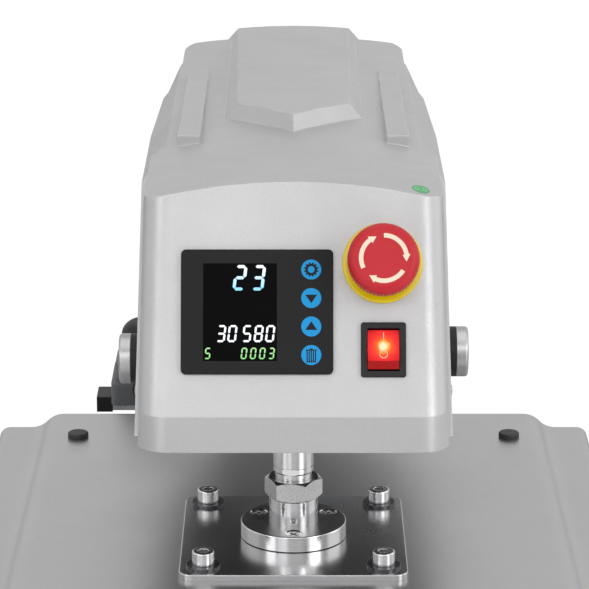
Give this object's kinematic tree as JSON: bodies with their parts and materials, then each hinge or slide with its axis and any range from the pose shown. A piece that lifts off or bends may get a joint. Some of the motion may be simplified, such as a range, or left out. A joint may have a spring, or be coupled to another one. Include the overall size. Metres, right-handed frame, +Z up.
{
  "type": "pneumatic heat press",
  "caption": "Swing-away pneumatic heat press: boxed head with a tilted control panel on a round column, a covered flat heat platen on a piston rod, and a padded lower platen.",
  "frame": {"origin": "on the bench, under the middle of the machine's bounding box", "axes": "+X to the operator's right, +Y from the operator's side to the column at the back, +Z up"},
  "size_m": [0.426, 0.64, 0.5131],
  "materials": {
    "frame_paint": "powder coat",
    "head_paint": "fine grained light grey coat",
    "black_plastic": "moulded, satin",
    "charcoal_plastic": "moulded, fine grain",
    "display_black": "glossy window",
    "black_rubber": "moulded rubber",
    "zinc_steel": "zinc plated",
    "ground_steel": "ground and plated",
    "polished_steel": "polished",
    "satin_steel": "turned, satin",
    "black_steel": "black oxide",
    "cover_stainless": "stainless sheet, fine brushed",
    "bare_aluminium": "machined",
    "die_cast_grey": "painted die casting",
    "bronze": "turned",
    "silicone": "closed cell silicone sponge",
    "insulation": "ceramic fibre board",
    "heater_sheath": "heat stained sheath",
    "board_green": "circuit board",
    "yellow_plastic": "glossy disc",
    "red_plastic": "moulded, glossy",
    "rocker_red": "translucent, lit from inside",
    "cream_plastic": "moulded",
    "needle_red": "painted"
  },
  "bodies": {
    "base": {"base_frame": "frame_paint", "rail_end_caps": "black_plastic", "rubber_feet": "black_rubber", "lower_stand": "frame_paint", "stand_bolts": "zinc_steel", "lower_platen": "bare_aluminium", "silicone_pad": "silicone", "column": "ground_steel", "column_bolts": "zinc_steel", "support_collar": "black_steel", "stop_pin": "ground_steel", "thrust_washer": "bronze", "retaining_cap": "black_steel", "regulator_bracket": "zinc_steel", "bracket_end_cap": "black_plastic", "regulator_body": "die_cast_grey", "pressure_gauge": "black_plastic"},
    "head": {"swing_arm": "frame_paint", "sleeve_bushes": "bronze", "head_cover": "head_paint", "head_bottom_plate": "black_steel", "cover_screws": "polished_steel", "controller_case": "charcoal_plastic", "controller_screen": "display_black", "controller_board": "board_green", "stop_disc": "yellow_plastic", "stop_switch_body": "black_plastic", "rocker_housing": "black_plastic", "start_button_bodies": "black_plastic", "start_button_bezels": "polished_steel", "cylinder_barrel": "bare_aluminium", "cylinder_end_caps": "bare_aluminium", "cylinder_bolts": "zinc_steel", "guide_bush": "bronze", "solid_state_relay": "cream_plastic", "solenoid_valve": "black_plastic", "cable_glands": "black_plastic"},
    "press": {"piston": "bare_aluminium", "piston_rod": "polished_steel", "rod_nut": "satin_steel", "hub_flange": "polished_steel", "hub_screws": "polished_steel", "mounting_plate": "polished_steel", "plate_washers": "polished_steel", "plate_screws": "polished_steel", "platen_cover": "cover_stainless", "cover_plugs": "black_rubber", "standoffs": "satin_steel", "insulation_board": "insulation", "heating_element": "heater_sheath", "heat_platen": "bare_aluminium", "thermocouple": "satin_steel", "guide_rod": "ground_steel"},
    "stop_spindle": {"stop_spindle": "black_plastic"},
    "stop_mushroom": {"stop_mushroom": "red_plastic"},
    "rocker_key": {"rocker_key": "rocker_red"},
    "left_start_plunger": {"left_start_plunger": "black_plastic"},
    "right_start_plunger": {"right_start_plunger": "black_plastic"},
    "regulator_knob": {"regulator_knob": "black_plastic"},
    "gauge_needle": {"gauge_needle": "needle_red"}
  },
  "joints": [
    {"name": "head_swing", "type": "hinge", "parent": "base", "child": "head", "pos_m": [0, 0.25, 0.3], "axis": [0, 0, 1], "range_deg": [0, 90]},
    {"name": "press_stroke", "type": "slide", "parent": "head", "child": "press", "axis": [0, 0, -1], "range_m": [0, 0.045]},
    {"name": "stop_push", "type": "slide", "parent": "head", "child": "stop_spindle", "axis": [0, 0.9272, -0.3746], "range_m": [0, 0.0045]},
    {"name": "stop_twist", "type": "hinge", "parent": "stop_spindle", "child": "stop_mushroom", "pos_m": [0.0498, -0.13671, 0.46092], "axis": [0, 0.9272, -0.3746], "range_deg": [0, 45], "stiffness_Nm_per_rad": 0.05},
    {"name": "rocker_tip", "type": "hinge", "parent": "head", "child": "rocker_key", "pos_m": [0.0502, -0.1521, 0.41483], "axis": [1, 0, 0], "range_deg": [0, 20]},
    {"name": "left_start_push", "type": "slide", "parent": "head", "child": "left_start_plunger", "axis": [1, 0, 0], "range_m": [0, 0.003], "stiffness_N_per_m": 600},
    {"name": "right_start_push", "type": "slide", "parent": "head", "child": "right_start_plunger", "axis": [-1, 0, 0], "range_m": [0, 0.003], "stiffness_N_per_m": 600},
    {"name": "regulator_turn", "type": "hinge", "parent": "base", "child": "regulator_knob", "pos_m": [-0.098, 0.243, 0.3], "axis": [0, 0, 1], "continuous": true},
    {"name": "needle_turn", "type": "hinge", "parent": "base", "child": "gauge_needle", "pos_m": [-0.098, 0.209, 0.274], "axis": [0, 1, 0], "range_deg": [0, 270], "stiffness_Nm_per_rad": 0.0002}
  ]
}
